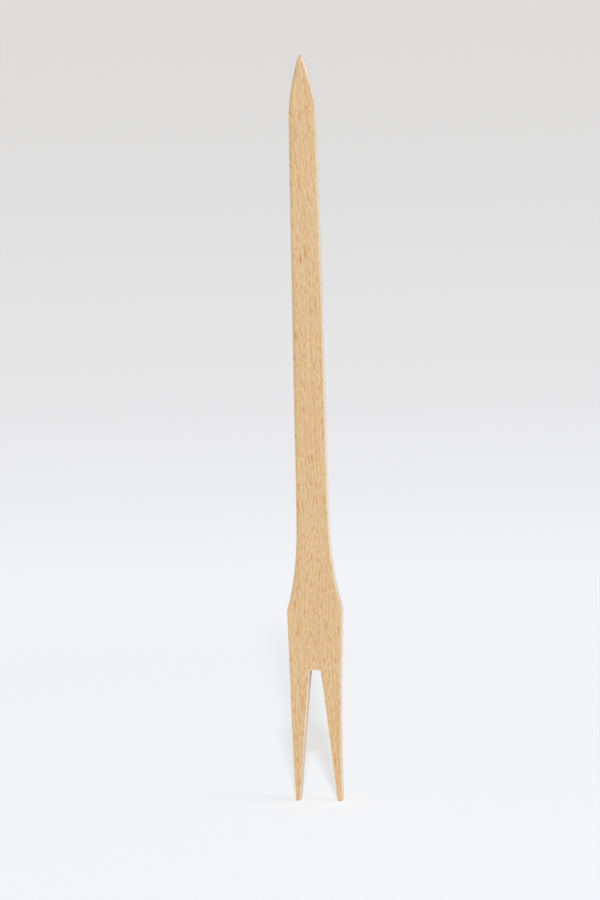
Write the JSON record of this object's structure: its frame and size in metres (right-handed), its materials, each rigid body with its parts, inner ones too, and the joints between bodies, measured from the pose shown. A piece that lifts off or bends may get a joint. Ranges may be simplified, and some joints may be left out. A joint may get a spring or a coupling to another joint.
{
  "type": "clay modeling tool",
  "caption": "Flat wooden clay modelling tool: a long tapering handle with a lancet point at the top, widening at the bottom into a shouldered head with slim splayed tines.",
  "frame": {"origin": "on the ground, midway between the flat ends of the tines, at the centre of the bounding box's bottom face", "axes": "+Z along the tool's length from the tines to the point, +X across its width, +Y through its thickness towards the back face"},
  "size_m": [0.0224, 0.005, 0.3],
  "materials": {
    "beech": "unvarnished light beech, fine-sanded to a dry matt, with short darker ray flecks along the grain, rounded grip edges and sawn end grain on the tines"
  },
  "bodies": {
    "root": {"tool_body": "beech"}
  },
  "joints": []
}
